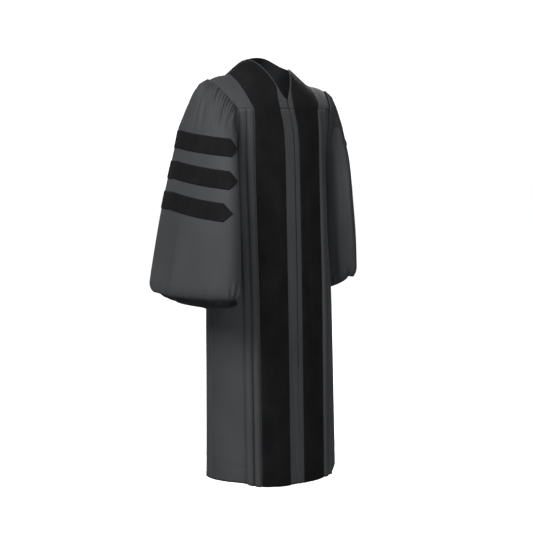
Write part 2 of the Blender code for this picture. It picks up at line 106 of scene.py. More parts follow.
# Front opening, the sideways lean of the fronts round the foot of the neck, and the zip
CLOSURE_X = 0.007
LEAN = 0.0145
LEAN_Z = -0.138
LEAN_HEIGHT = 0.055
LEAN_SPREAD = 0.100
ZIP_GAP = 0.004
MEETING_GAP = 0.0
ZIP_TOP_Z = -0.137
ZIP_END_Z = -0.950
TAPE_WIDTH = 0.014
CHAIN_WIDTH = 0.003
CHAIN_THICKNESS = 0.0016
ZIP_SETBACK = 0.0008

# Velvet bands: x of the inner and outer edges on each front, and round the back neck
Band = namedtuple("Band", "inner outer")
BANDS = {-1: Band(0.031, 0.128), 1: Band(0.024, 0.116)}
NECK_EDGE = 0.004
BAND_SHOULDER_X = 0.150
BAND_NECK_ANGLE = 27.5
BAND_BACK_ANGLE = 55.0

# Flutes: convex rolls between sharp grooves, lower at the chest seam and a little uneven
FLUTE_RISE = 0.0065
FLUTE_ROUND = 0.62
FLUTE_TOP_SHARE = 0.45
FLUTE_GROWTH = 0.12
FLUTE_UNEVEN = 0.14
FLUTE_UNEVEN_LENGTH = 0.16
FLUTE_SEED = 13
FRONT_FLUTE = 0.0215
GROOVE_WIDTH = 0.0016
GROOVE_DEPTH = 0.0030
BAND_TO_FLUTE = 0.0020
FRONT_FLUTES = 2
BACK_FLUTE = 0.028
BACK_GROOVES = 6
SIDE_X = 0.1735

# Folds of the body: smooth bumps read round a ring, so that they meet behind
Bumps = namedtuple("Bumps", "rise across down seed")
BODY_BUMPS = (Bumps(0.0042, 2.2, 1.1, 11), Bumps(0.0013, 5.0, 2.0, 12))
BODY_RING = 1.6
BODY_RING_PLACE = 20.0
BODY_RING_Z = SEAM_Z - 0.2
BUMPS_TOP_SHARE = 0.2
BUMPS_GROWTH = 0.9
HEM_BUMPS = Bumps(0.0010, 9.0, 0.0, 14)
HEM_BUMPS_FADE = 0.03
SEAM_SINK = 0.0012
SEAM_SINK_WIDTH = 0.0035
HEM_SINK = 0.0008
HEM_SINK_WIDTH = 0.0030

# Sleeves: ellipses down each sleeve, for the right side and the left
SleeveSection = namedtuple("SleeveSection", "z x y across along")
SLEEVES = {
    -1: (
        SleeveSection(-0.210, 0.244, -0.014, 0.063, 0.118),
        SleeveSection(-0.320, 0.268, -0.028, 0.061, 0.149),
        SleeveSection(-0.440, 0.283, -0.027, 0.069, 0.169),
        SleeveSection(-0.560, 0.2965, -0.027, 0.077, 0.187),
        SleeveSection(-0.700, 0.313, -0.029, 0.086, 0.204),
    ),
    1: (
        SleeveSection(-0.210, 0.238, 0.038, 0.055, 0.092),
        SleeveSection(-0.320, 0.2605, 0.048, 0.052, 0.116),
        SleeveSection(-0.440, 0.268, 0.059, 0.056, 0.134),
        SleeveSection(-0.560, 0.2785, 0.074, 0.062, 0.150),
        SleeveSection(-0.700, 0.2916, 0.098, 0.068, 0.164),
    ),
}
HEAD_Z = -0.210
UNDERARM_HEAD_Z = -0.315
CUFF_Z = {-1: -0.704, 1: -0.694}
CUFF_BACK_DROP = 0.052
CUFF_DROP_ANGLE = -168.0
HEAD_PUFF = 0.62
SEAM_LAP = 0.0025
UNDERARM_LAP = 0.0010
LAP_RUN = 60.0
INWARD_START = 95.0
INWARD_RUN = 70.0

# Gathers in the sleeve head: turns in degrees, and lengths in shares of the head
GATHERS = 20
GATHER_REACH = 108.0
GATHER_EDGE = 25.0
GATHER_RISE = 0.0062
GATHER_SEAM_SHARE = 0.45
GATHER_SWELL = 0.12
GATHER_LENGTH = 1.15
GATHER_WANDER = 1.6
WIDE_SHARE = 0.50
FINE_SHARE = 0.85
FINE_LENGTH = 0.85
FINE_SHARPNESS = 1.5

# Folds of the sleeves. Drop is 0 to 1 down the head, and 1 to 6 from there to the cuff
SLEEVE_DROP = 5.0
FALL_RISE = 0.0034
FALL_START, FALL_END, FALL_FADE = 0.35, 0.7, 0.8
HANG_START, HANG_RUN = 1.2, 3.0
SLEEVE_BUMPS = (Bumps(0.0048, 0.30, 0.30, 2), Bumps(0.0007, 0.9, 0.5, 3))
Ripples = namedtuple("Ripples", "turns place down")
WANDER = Ripples(17.0, 30.0, 0.7)
FALLS = Ripples(8.0, 7.0, 0.25)
SLEEVE_RING = 6.0
SLEEVE_RING_PLACE = 40.0
SLEEVE_SEED = {-1: 20, 1: 30}

# Slanting folds at the front of the left sleeve
SLANT_RISE = 0.0042
SLANT_TURN = 78.0
SLANT_SPREAD = 42.0
SLANT_START, SLANT_RUN = 0.25, 0.6
SLANTS = 9.5
SLANT_LEAN = 8.0
SLANT_WANDER = 1.2
SLANT_SEED = 35

# The cuff: puckers at its hem, the hem tucked in, and soft folds on the side by the body
PUCKER_RISE = 0.0060
PUCKER_START, PUCKER_RUN = 0.86, 0.14
PUCKER_TURNS, PUCKER_DOWN, PUCKER_LEAN, PUCKER_PLACE = 7.0, 8.0, 30.0, 40.0
PUCKER_OUTER_SHARE = 0.30
PUCKER_TURN, PUCKER_TURN_RUN = 50.0, 60.0
CUFF_TUCK = 0.016
TUCK_START, TUCK_RUN = 0.93, 0.09
CUFF_FOLDS = 9
CUFF_FOLD_DEPTH = 0.007
CUFF_FOLD_WANDER = 0.8
CUFF_FOLD_TURN, CUFF_FOLD_RUN = 112.0, 22.0

# Sleeve bars
BAR_Z = (-0.252, -0.343, -0.434)
BAR_TILT = 0.13
BAR_LEVEL_RUN = -0.060
BAR_HALF_HEIGHT = 0.0265
BarEnds = namedtuple("BarEnds", "back front")
BAR_ENDS = {
    -1: (BarEnds(-0.190, 0.177), BarEnds(-0.190, 0.190), BarEnds(-0.190, 0.190)),
    1: (BarEnds(-0.165, 0.085), BarEnds(-0.165, 0.085), BarEnds(-0.165, 0.085)),
}
BAR_POINT = 0.026
BAR_TIP_SHARE = 0.01

# Rolled velvet edges, stitches and zip teeth
EDGE_THICKNESS = (0.30, 0.80)
STITCH_SHARE = 0.70
STITCH_WIDTH = 0.0007
STITCH_HEIGHT = 0.0004
STITCH_LIFT = 0.0001
STITCH_REACH = 0.001
STITCH_CLEAR = 0.004
ARM_CLEAR = 0.006
SEAM_STITCH = 0.0032
HEM_STITCH = 0.0075
SEAM_ALLOWANCE = 0.0040
YOKE_STITCH_ANGLE = 2.2
CUFF_LINE = 0.030
TOOTH_PITCH = 0.0016
TOOTH_SWING = 0.0003
TOOTH_SIZE = (0.72 * CHAIN_WIDTH, 0.62 * TOOTH_PITCH, 0.0006)

# A bead, which is a stitch or a tooth: its shoulder ring, foot and top in shares of its size
BEAD_RING = (
    (-0.5, 0.0, 0.45), (-0.3, 0.5, 0.9), (0.3, 0.5, 0.9),
    (0.5, 0.0, 0.45), (0.3, -0.5, 0.9), (-0.3, -0.5, 0.9),
)
BEAD_FOOT_SHARE = 0.9
BEAD_FOOT = -0.2
BEAD_TOP = 1.15

# Fineness of the grids, in metres, degrees or steps
NORMAL_STEP = 0.0005
ANGLE_STEP = 0.4
TURN_STEP = 1.0
HEAD_NORMAL_STEP, SLEEVE_NORMAL_STEP = 0.02, 0.004
GROOVE_STOPS = (0.02, 0.06, 0.13, 0.87, 0.94, 0.98)
COLUMN_STEP = 0.0022
ROW_STEP = 0.009
TOP_ROWS = 0.12
ARM_STEP = 0.035
YOKE_ANGLE_STEP = 2.0
YOKE_BACK_STEP = 0.25
YOKE_COLUMNS = (6, 26, 26)
SLEEVE_TURN_STEP = 1.125
HEAD_STEP = 0.03
SLEEVE_STEP = 0.008
BAR_STEP = 0.0025
BAR_ROW_STEP = 0.1
ZIP_ROW_STEP = 0.006
ZIP_COLUMN_STEP = 0.002

# Cloth and velvet: colours, and low and high tones of their slight patches
CLOTH_COLOUR = (0.0280, 0.0290, 0.0312)
CLOTH_TONES = ((0.0232, 0.0242, 0.0260), (0.0308, 0.0319, 0.0342))
VELVET_COLOUR = (0.0058, 0.0058, 0.0063)
VELVET_TONES = ((0.0044, 0.0044, 0.0048), (0.0070, 0.0069, 0.0075))
THREAD_COLOUR = (0.010, 0.0103, 0.0112)
TAPE_COLOUR = (0.012, 0.012, 0.013)
CHAIN_COLOUR = (0.020, 0.020, 0.022)
TONE_STOPS = (0.35, 0.65)

# Grain of the materials: bumps in each metre across and down the cloth
CLOTH_THREADS = (900.0, 2600.0, 1.0)
CLOTH_PATCHES = (6.0, 3.0, 1.0)
VELVET_PILE = (1500.0, 1500.0, 1.0)
VELVET_BRUSHED = (14.0, 9.0, 1.0)
THREAD_TWIST = (4000.0, 4000.0, 4000.0)
TAPE_WEAVE = (2500.0, 900.0, 1.0)
CHAIN_GRAIN = (700.0, 700.0, 700.0)

# Points inside the body and inside the yoke, which tell a shell's outer side
BODY_MIDDLE = np.array((0.0, 0.0, -0.7))
YOKE_MIDDLE = np.array((0.0, 0.0, -0.25))

# Camera, in degrees, metres and pixels of the photo's frame
CAMERA_AZIMUTH = -38.0
CAMERA_DISTANCE = 3.95
CAMERA_Z = -0.25
CAMERA_PITCH = 5.7
CAMERA_YAW = 0.17
CAMERA_ROLL = -0.60
CAMERA_FOCAL = 1266.0
FRAME_PIXELS = 533.0
SENSOR = 36.0

# Stage and lights
FLOOR_Z = -1.45
FLOOR_GLOW = 0.72
BACKDROP_GLOW = 1.0
STAGE_TONE = 0.92
STAGE_RADIUS = 30.0
FLOOR_SIDES = 96
WORLD_STRENGTH = 0.30
AreaLight = namedtuple("AreaLight", "name place aim size watts")
LIGHTS = (
    AreaLight("key", (-3.5, -1.5, 2.5), (-0.2, 0.0, -0.45), (2.0, 2.0), 330.0),
    AreaLight("top", (-0.9, -1.3, 1.6), (0.0, 0.0, -0.1), (0.8, 0.8), 18.0),
    AreaLight("front", (-0.7, -2.2, 0.35), (0.02, 0.05, 0.0), (0.5, 0.5), 12.0),
    AreaLight("low", (-1.7, -2.1, -1.4), (-0.25, 0.0, -0.75), (1.2, 0.6), 24.0),
    AreaLight("back", (2.8, 2.6, 1.6), (0.1, 0.0, -0.6), (2.0, 2.0), 120.0),
)

SIDES = ((-1, "right"), (1, "left"))


# Small helpers on arrays
def smooth(t):
    """Ease from 0 to 1."""
    t = np.clip(t, 0.0, 1.0)
    return t * t * (3.0 - 2.0 * t)


def mix(a, b, t):
    """The value at share t of the way from a to b."""
    return a + (b - a) * t


def unit(vectors):
    """Vectors of length 1."""
    return vectors / np.maximum(np.linalg.norm(vectors, axis=-1, keepdims=True), 1e-12)


def points(x, y, z):
    """Points from arrays of coordinates."""
    return np.stack(np.broadcast_arrays(x, y, z), axis=-1)


def noise(u, v, seed):
    """Smooth bumps from -1 to 1 over a plane, about one unit from bump to bump."""
    table = np.random.default_rng(seed).uniform(-1.0, 1.0, (64, 64))
    u, v = np.broadcast_arrays(u, v)
    i = np.floor(u).astype(int)
    j = np.floor(v).astype(int)
    s = u - i
    t = v - j
    s = s * s * s * (s * (s * 6.0 - 15.0) + 10.0)
    t = t * t * t * (t * (t * 6.0 - 15.0) + 10.0)
    low = mix(table[i % 64, j % 64], table[(i + 1) % 64, j % 64], s)
    high = mix(table[i % 64, (j + 1) % 64], table[(i + 1) % 64, (j + 1) % 64], s)
    return mix(low, high, t)


def section_at(table, z):
    """Values of a table of sections at heights z, on a smooth curve through its rows."""
    rows = np.array(table)
    z = np.asarray(z, dtype=float)
    last = len(rows) - 2
    i = (z[..., None] < rows[1 : last + 1, 0]).sum(axis=-1)
    before, start = rows[np.maximum(i - 1, 0)], rows[i]
    end, after = rows[i + 1], rows[np.minimum(i + 2, last + 1)]
    span = end[..., 0] - start[..., 0]
    t = np.clip((z - start[..., 0]) / span, 0.0, 1.0)[..., None]
    span = span[..., None]
    leave = (end - before) / (end[..., :1] - before[..., :1]) * span
    arrive = (after - start) / (after[..., :1] - start[..., :1]) * span
    curve = (2 * t**3 - 3 * t**2 + 1) * start + (t**3 - 2 * t**2 + t) * leave
    curve = curve + (3 * t**2 - 2 * t**3) * end + (t**3 - t**2) * arrive
    return type(table[0])(*np.moveaxis(curve, -1, 0))


# The body of the gown
def depth_at(x, half_width, depth):
    """Depth of a superellipse section at x."""
    share = np.clip(np.abs(x) / half_width, 0.0, 1.0) ** BODY_ROUND
    return depth * (1.0 - share) ** (1.0 / BODY_ROUND)


def opening_edge(side, z):
    """Distance of a front's edge from the middle, towards its own side."""
    gap = np.where(np.asarray(z) > ZIP_END_Z, ZIP_GAP, MEETING_GAP)
    return side * CLOSURE_X + gap / 2.0


def flute_grooves(side, face):
    """The grooves of one side, at the front (face -1) or at the back (face 1)."""
    if face < 0:
        start = BANDS[side].outer + BAND_TO_FLUTE
        return [start + FRONT_FLUTE * i for i in range(FRONT_FLUTES + 1)]
    return [BACK_FLUTE * (i - 0.5) for i in range(BACK_GROOVES + 1)]


def lean(x, z):
    """Sideways shift of the fronts, which hang a little askew round the foot of the neck."""
    height = np.exp(-(((z - LEAN_Z) / LEAN_HEIGHT) ** 2))
    return -LEAN * height * np.exp(-((x / LEAN_SPREAD) ** 2))


def plain_body_point(side, face, column, z):
    """A point of the body. Columns up to SIDE_X are x, and past it they add 0 to 1 to the side seam."""
    column, z = np.broadcast_arrays(column, z)
    section = section_at(BODY, z)
    depth = section.front if face < 0 else section.back
    x = np.minimum(column, SIDE_X)
    y = depth_at(x, section.half_width, depth)
    turn = np.arcsin((SIDE_X / section.half_width) ** (BODY_ROUND / 2.0))
    angle = mix(turn, math.pi / 2.0, np.clip(column - SIDE_X, 0.0, 1.0))
    x = np.where(column > SIDE_X, section.half_width * np.sin(angle) ** (2.0 / BODY_ROUND), x)
    side_y = depth * np.maximum(np.cos(angle), 0.0) ** (2.0 / BODY_ROUND)
    y = np.where(column > SIDE_X, side_y, y)
    shift = lean(x, z) if face < 0 else 0.0
    return points(side * x + shift, face * y, z)


def body_normal(side, face, column, z):
    """Outward direction of the plain body."""
    column = np.minimum(column, SIDE_X + 0.999)
    ahead = plain_body_point(side, face, column + NORMAL_STEP, z)
    behind = plain_body_point(side, face, column - NORMAL_STEP, z)
    normal = unit(np.cross(ahead - behind, (0.0, 0.0, 1.0)))
    outward = plain_body_point(side, face, column, z) * (1.0, 1.0, 0.0)
    return normal * np.where((normal * outward).sum(axis=-1) > 0.0, 1.0, -1.0)[..., None]


def arm_column(step):
    """Column of the armhole's edge below the chest seam, from the seam (0) to the side (1)."""
    half_width = BODY[0].half_width
    turn = math.asin((SIDE_X / half_width) ** (BODY_ROUND / 2.0))
    start = math.asin((ARM_SEAM_X / half_width) ** (BODY_ROUND / 2.0))
    share = (start - turn) / (math.pi / 2.0 - turn)
    return SIDE_X + mix(share, 1.0, 1.0 - np.cos(math.pi / 2.0 * step))


def arm_edge_z(step):
    """Height of the armhole's edge at that step."""
    return SEAM_Z - (SEAM_Z - ARMHOLE_BOTTOM_Z) * np.sin(math.pi / 2.0 * step)


def hem_z(side, x):
    """Height of the hem, which rises to the sides and dips a little to the left."""
    return HEM_Z + HEM_SIDE_RISE * (x / BODY[-1].half_width) ** HEM_SIDE_POWER - side * HEM_TILT * x


def flute_rise(side, face, column, z):
    """Height of the flutes over the plain section, with a sharp groove between them."""
    grown = mix(FLUTE_TOP_SHARE, 1.0, smooth((SEAM_Z - z) / FLUTE_GROWTH))
    grooves = flute_grooves(side, face)
    rise = np.zeros(np.broadcast(column, z).shape)
    for i, (start, end) in enumerate(zip(grooves, grooves[1:])):
        t = np.clip((column - start) / (end - start), 0.0, 1.0)
        own = noise(z / FLUTE_UNEVEN_LENGTH + 5.0 * i, 0.5 + i + 9.0 * side + 20.0, FLUTE_SEED)
        rise = rise + (1.0 + FLUTE_UNEVEN * own) * np.sin(math.pi * t) ** FLUTE_ROUND
    crease = sum(np.exp(-(((column - groove) / GROOVE_WIDTH) ** 2)) for groove in grooves)
    return grown * (FLUTE_RISE * rise - GROOVE_DEPTH * crease)


def body_folds(side, face, column, z):
    """Soft unevenness of hanging cloth, growing towards the hem, and the sunk seam lines."""
    x, y, _ = np.moveaxis(plain_body_point(side, face, column, BODY_RING_Z), -1, 0)
    turn = np.arctan2(x, -y)
    across = BODY_RING * np.cos(turn) + BODY_RING_PLACE
    along = BODY_RING * np.sin(turn) + BODY_RING_PLACE
    wave = sum(
        bumps.rise * noise(across * bumps.across, along * bumps.across + z * bumps.down, bumps.seed)
        for bumps in BODY_BUMPS
    )
    grown = mix(BUMPS_TOP_SHARE, 1.0, smooth((SEAM_Z - z) / BUMPS_GROWTH))
    hem = noise(across * HEM_BUMPS.across, along * HEM_BUMPS.across, HEM_BUMPS.seed)
    hem = hem * HEM_BUMPS.rise * smooth((HEM_LINE - (z - HEM_Z)) / HEM_BUMPS_FADE)
    from_hem_line = z - hem_z(side, np.abs(x)) - HEM_LINE
    sunk = SEAM_SINK * np.exp(-(((z - SEAM_Z) / SEAM_SINK_WIDTH) ** 2))
    sunk = sunk + HEM_SINK * np.exp(-((from_hem_line / HEM_SINK_WIDTH) ** 2))
    return wave * grown + hem - sunk


def body_point(side, face, column, z, out=0.0):
    """A point of the fluted and softly folded body, moved out."""
    rise = flute_rise(side, face, column, z) + body_folds(side, face, column, z) + out
    normal = body_normal(side, face, column, z)
    return plain_body_point(side, face, column, z) + normal * rise[..., None]


# The yoke
def ridge_z(side, x):
    """Height of the shoulder line."""
    run = np.hypot(x, RIDGE_ROUNDING) - RIDGE_ROUNDING
    drop = LEFT_SHOULDER_DROP * smooth((side * x - DROP_START_X) / DROP_RUN)
    dip = RIDGE_DIP * np.exp(-(((x - RIDGE_DIP_X) / RIDGE_DIP_SPREAD) ** 2))
    return RIDGE_TOP_Z - RIDGE_SLOPE * run - drop - dip


def neck_sink(side, x, angle):
    """How far the left neck edge, just before the shoulder line, lies flatter than the yoke."""
    wide, round_way = NECK_SINK_SPREAD
    far = ((x - NECK_SINK_X) / wide) ** 2 + ((angle - NECK_SINK_ANGLE) / round_way) ** 2
    return (side > 0) * LEFT_NECK_SINK * np.exp(-far)


def yoke_point(side, x, angle, out=0.0):
    """A point of the yoke: angle 0 at the chest seam, 90 on the shoulder, 180 at the back seam."""
    x, angle = np.broadcast_arrays(x, angle)
    front = angle <= 90.0
    depth = np.where(front, BODY[0].front, BODY[0].back)
    power = 2.0 / np.where(front, YOKE_FRONT_ROUND, YOKE_BACK_ROUND)
    face = np.where(front, -1.0, 1.0)
    forward = np.abs(np.cos(np.radians(angle))) ** power
    up = np.abs(np.sin(np.radians(angle))) ** power
    y = face * depth_at(x, BODY[0].half_width, depth) * forward
    z = mix(SEAM_Z + 2.0 * SEAM_GAP, ridge_z(side, np.abs(x)), up) - neck_sink(side, x, angle)
    shift = np.where(front, lean(x, z), 0.0)
    point = points(side * x + shift, y, z)
    if np.any(out):
        point = point + yoke_normal(side, x, angle) * np.asarray(out)[..., None]
    return point


def yoke_normal(side, x, angle):
    """Outward direction of the yoke."""
    along = yoke_point(side, x, np.minimum(angle + ANGLE_STEP, 180.0))
    along = along - yoke_point(side, x, np.maximum(angle - ANGLE_STEP, 0.0))
    across = yoke_point(side, x + NORMAL_STEP, angle) - yoke_point(side, x - NORMAL_STEP, angle)
    normal = unit(np.cross(along, across))
    outward = yoke_point(side, x, angle) - YOKE_MIDDLE
    return normal * np.where((normal * outward).sum(axis=-1) > 0.0, 1.0, -1.0)[..., None]


def arm_x(angle):
    """Distance of the yoke's armhole edge from the middle."""
    return mix(ARM_SEAM_X, SHOULDER_X, np.sin(np.radians(angle)) ** (2.0 / YOKE_FRONT_ROUND))


def neck_x(side, angle):
    """Distance of the front neck edge from the middle."""
    edge = opening_edge(side, SEAM_Z)
    share = np.maximum(angle - V_BOTTOM_ANGLE, 0.0) / (90.0 - V_BOTTOM_ANGLE)
    return mix(edge, NECK_HALF_WIDTH, share ** V_CURVE[side])


# The sleeves
def wrap(turn):
    """The turn in degrees from -180 to 180."""
    return (turn + 180.0) % 360.0 - 180.0


def armhole_point(side, turn, out=0.0):
    """A point of the armhole's edge: turn 0 on the shoulder, 90 at the chest seam, 180 underarm."""
    turn, out = np.broadcast_arrays(wrap(turn), out)
    angle = 90.0 - np.clip(turn, -90.0, 90.0)
    result = yoke_point(side, arm_x(angle), angle, out)
    step = np.clip((np.abs(turn) - 90.0) / 90.0, 0.0, 1.0)
    for face, half in ((-1, turn > 90.0), (1, turn < -90.0)):
        column = arm_column(step)
        z = arm_edge_z(step)
        rise = flute_rise(side, face, column, z) + out
        point = plain_body_point(side, face, column, z)
        point = point + body_normal(side, face, column, z) * rise[..., None]
        result = np.where(half[..., None], point, result)
    return result


def plain_sleeve_point(side, turn, level):
    """A point of the sleeve. Level 0 to 1 is the head, and below it levels are heights."""
    turn, level = np.broadcast_arrays(wrap(turn), level)
    radians = np.radians(turn)
    inward = smooth((np.abs(turn) - INWARD_START) / INWARD_RUN)
    head_z = mix(HEAD_Z, UNDERARM_HEAD_Z, inward)
    drop = np.maximum(np.cos(np.radians(turn - CUFF_DROP_ANGLE)), 0.0)
    cuff_z = CUFF_Z[side] - CUFF_BACK_DROP * drop
    lap = mix(UNDERARM_LAP, SEAM_LAP, smooth((180.0 - np.abs(turn)) / LAP_RUN))
    start = armhole_point(side, turn, lap)
    in_head = level >= 0.0
    share = (level - HEAD_Z) / (CUFF_Z[side] - HEAD_Z)
    z = np.where(in_head, mix(start[..., 2], head_z, level), mix(head_z, cuff_z, share))
    section = section_at(SLEEVES[side], np.minimum(z, HEAD_Z))
    x = side * (section.x + section.across * np.cos(radians))
    y = section.y - section.along * np.sin(radians)
    spread = np.where(in_head, np.clip(level, 0.0, 1.0) ** HEAD_PUFF, 1.0)
    return points(mix(start[..., 0], x, spread), mix(start[..., 1], y, spread), z)


def sleeve_normal(side, turn, level):
    """Outward direction of the sleeve."""
    turn, level = np.broadcast_arrays(turn, level)
    in_head = level >= 0.0
    ahead = np.minimum(level + HEAD_NORMAL_STEP, 1.0)
    behind = np.clip(level - HEAD_NORMAL_STEP, 0.002, 0.96)
    ahead = np.where(in_head, ahead, level - SLEEVE_NORMAL_STEP)
    behind = np.where(in_head, behind, level + SLEEVE_NORMAL_STEP)
    along = plain_sleeve_point(side, turn, ahead) - plain_sleeve_point(side, turn, behind)
    across = plain_sleeve_point(side, turn + TURN_STEP, level)
    across = across - plain_sleeve_point(side, turn - TURN_STEP, level)
    return -side * unit(np.cross(along, across))


def ripples(row, turn, drop, seed):
    """Smooth bumps down a sleeve, row.turns degrees apart."""
    return noise(turn / row.turns + row.place, drop * row.down, seed)


def gathers(turn, drop, phase):
    """Height of the gathers in the head: wide ones, and finer ones that fade sooner."""
    swell = mix(GATHER_SEAM_SHARE, 1.0, smooth(drop / GATHER_SWELL))
    swell = swell * (1.0 - smooth(drop / GATHER_LENGTH))
    wide = 0.5 + 0.5 * np.cos(np.radians(GATHERS * turn) + phase)
    fine = np.abs(np.cos(np.radians(1.5 * GATHERS * turn) - 2.0 * phase)) ** FINE_SHARPNESS
    fine = (1.0 - fine) * (1.0 - smooth(drop / FINE_LENGTH))
    return GATHER_RISE * swell * (WIDE_SHARE * wide + FINE_SHARE * fine)


def hanging_folds(turn, drop, seed):
    """Height of the slow waves below the head."""
    across = SLEEVE_RING * np.cos(np.radians(turn)) + SLEEVE_RING_PLACE
    along = SLEEVE_RING * np.sin(np.radians(turn)) + SLEEVE_RING_PLACE
    waves = 0.0
    for bumps in SLEEVE_BUMPS:
        down = bumps.down * drop
        wave = noise(across * bumps.across, along * bumps.across + down, seed + bumps.seed)
        waves = waves + bumps.rise * wave
    return waves * smooth((drop - HANG_START) / HANG_RUN)


def slanting_folds(turn, drop):
    """Height of the slanting folds at the front of the left sleeve."""
    front = np.exp(-(((turn - SLANT_TURN) / SLANT_SPREAD) ** 2))
    front = front * smooth((drop - SLANT_START) / SLANT_RUN)
    slant = np.radians(turn * SLANTS - SLANT_LEAN * (drop - 1.0))
    wander = SLANT_WANDER * noise(drop * 0.5, turn / 40.0 + 9.0, SLANT_SEED)
    return SLANT_RISE * front * np.sin(slant + wander)


def cuff_relief(turn, below, phase, seed):
    """Height of the puckers at the cuff, less its tuck and the folds by the body."""
    down = below * PUCKER_DOWN + turn / PUCKER_LEAN
    pucker = PUCKER_RISE * noise(turn / PUCKER_TURNS + PUCKER_PLACE, down, seed + 4)
    pucker = pucker * smooth((below - PUCKER_START) / PUCKER_RUN)
    away = smooth((np.abs(turn) - PUCKER_TURN) / PUCKER_TURN_RUN)
    tuck = CUFF_TUCK * smooth((below - TUCK_START) / TUCK_RUN) ** 2
    inner = smooth((np.abs(turn) - CUFF_FOLD_TURN) / CUFF_FOLD_RUN)
    wave = 0.5 - 0.5 * np.cos(np.radians(CUFF_FOLDS * turn) + CUFF_FOLD_WANDER * phase)
    fold = CUFF_FOLD_DEPTH * inner * smooth(below) * wave
    return pucker * mix(PUCKER_OUTER_SHARE, 1.0, away) - tuck - fold


def sleeve_relief(side, turn, level):
    """Height of the gathers in the head, the folds below them, and the puckers at the cuff."""
    turn = wrap(turn)
    seed = SLEEVE_SEED[side]
    below = (HEAD_Z - level) / (HEAD_Z - CUFF_Z[side])
    drop = np.where(level >= 0.0, level, 1.0 + SLEEVE_DROP * below)
    reach = smooth((GATHER_REACH - np.abs(turn)) / GATHER_EDGE)
    phase = GATHER_WANDER * ripples(WANDER, turn, drop, seed)
    falling = smooth(drop / FALL_START) * (1.0 - smooth((drop - FALL_END) / FALL_FADE))
    falling = FALL_RISE * falling * ripples(FALLS, turn, drop, seed + 1)
    relief = reach * (gathers(turn, drop, phase) + falling) + hanging_folds(turn, drop, seed)
    if side > 0:
        relief = relief + slanting_folds(turn, drop)
    return relief + cuff_relief(turn, below, phase, seed)


def sleeve_point(side, turn, level, out=0.0):
    """A point of the gathered sleeve, moved out."""
    turn, level = np.broadcast_arrays(turn, level)
    lift = sleeve_relief(side, turn, level) + out
    return plain_sleeve_point(side, turn, level) + sleeve_normal(side, turn, level) * lift[..., None]


# Grids
def spread(stops, step):
    """Values from the first stop to the last, through every stop, no wider apart than step."""
    values = []
    for start, end in zip(stops, stops[1:]):
        count = max(1, math.ceil(abs(end - start) / step - 1e-6))
        values += [mix(start, end, i / count) for i in range(count)]
    return np.array(values + [stops[-1]])


# Materials
def new_material(name, colour, roughness):
    """A Principled material, its node tree and its shader."""
    made = bpy.data.materials.new(name)
    made.use_nodes = True
    made.diffuse_color = (*colour, 1.0)
    shader = made.node_tree.nodes["Principled BSDF"]
    shader.inputs["Base Color"].default_value = (*colour, 1.0)
    shader.inputs["Roughness"].default_value = roughness
    return made, made.node_tree, shader


def cloth_coordinates(tree, scale):
    """Coordinates in metres along the cloth, scaled."""
    lay = tree.nodes.new("ShaderNodeAttribute")
    lay.attribute_name = "lay"
    mapping = tree.nodes.new("ShaderNodeMapping")
    mapping.inputs["Scale"].default_value = scale
    tree.links.new(lay.outputs["Vector"], mapping.inputs["Vector"])
    return mapping.outputs["Vector"]


def noise_node(tree, scale, detail):
    """Noise along the cloth, with one scale each way."""
    node = tree.nodes.new("ShaderNodeTexNoise")
    node.inputs["Scale"].default_value = 1.0
    node.inputs["Detail"].default_value = detail
    tree.links.new(cloth_coordinates(tree, scale), node.inputs["Vector"])
    return node.outputs["Fac"]


def colour_between(tree, factor, low, high):
    """A colour that goes from low to high with a noise."""
    ramp = tree.nodes.new("ShaderNodeValToRGB")
    for stop, position, colour in zip(ramp.color_ramp.elements, TONE_STOPS, (low, high)):
        stop.position = position
        stop.color = (*colour, 1.0)
    tree.links.new(factor, ramp.inputs["Fac"])
    return ramp.outputs["Color"]


def add_bump(tree, shader, factor, distance, strength):
    """Fine relief from a noise, distance in metres."""
    bump = tree.nodes.new("ShaderNodeBump")
    bump.inputs["Distance"].default_value = distance
    bump.inputs["Strength"].default_value = strength
    tree.links.new(factor, bump.inputs["Height"])
    tree.links.new(bump.outputs["Normal"], shader.inputs["Normal"])


def set_sheen(shader, specular, weight, roughness, tint):
    """A low gloss, and the soft sheen of fibres."""
    shader.inputs["Specular IOR Level"].default_value = specular
    shader.inputs["Sheen Weight"].default_value = weight
    shader.inputs["Sheen Roughness"].default_value = roughness
    shader.inputs["Sheen Tint"].default_value = (*tint, 1.0)


def charcoal_cloth():
    """Satin-faced polyester: fine threads, a soft sheen, and slight unevenness."""
    made, tree, shader = new_material("charcoal_cloth", CLOTH_COLOUR, 0.74)
    threads = noise_node(tree, CLOTH_THREADS, 1.0)
    patches = noise_node(tree, CLOTH_PATCHES, 3.0)
    tree.links.new(colour_between(tree, patches, *CLOTH_TONES), shader.inputs["Base Color"])
    add_bump(tree, shader, threads, 0.0002, 0.5)
    set_sheen(shader, 0.16, 0.03, 0.5, (0.8, 0.83, 0.9))
    return made


def black_velvet():
    """Velvet: a deep black pile that brightens a little at its edges."""
    made, tree, shader = new_material("black_velvet", VELVET_COLOUR, 0.9)
    pile = noise_node(tree, VELVET_PILE, 2.0)
    brushed = noise_node(tree, VELVET_BRUSHED, 3.0)
    tree.links.new(colour_between(tree, brushed, *VELVET_TONES), shader.inputs["Base Color"])
    add_bump(tree, shader, pile, 0.0006, 0.8)
    set_sheen(shader, 0.05, 0.024, 0.35, (0.7, 0.72, 0.78))
    return made


def grained(name, colour, roughness, scale, distance, strength):
    """A plain material with one fine grain: thread, zip tape or zip chain."""
    made, tree, shader = new_material(name, colour, roughness)
    add_bump(tree, shader, noise_node(tree, scale, 1.0), distance, strength)
    return made


# Pieces
def new_piece(name, mesh, material):
    """An object with that mesh and material, in the scene."""
    mesh.materials.append(material)
    piece = bpy.data.objects.new(name, mesh)
    bpy.context.scene.collection.objects.link(piece)
    return piece


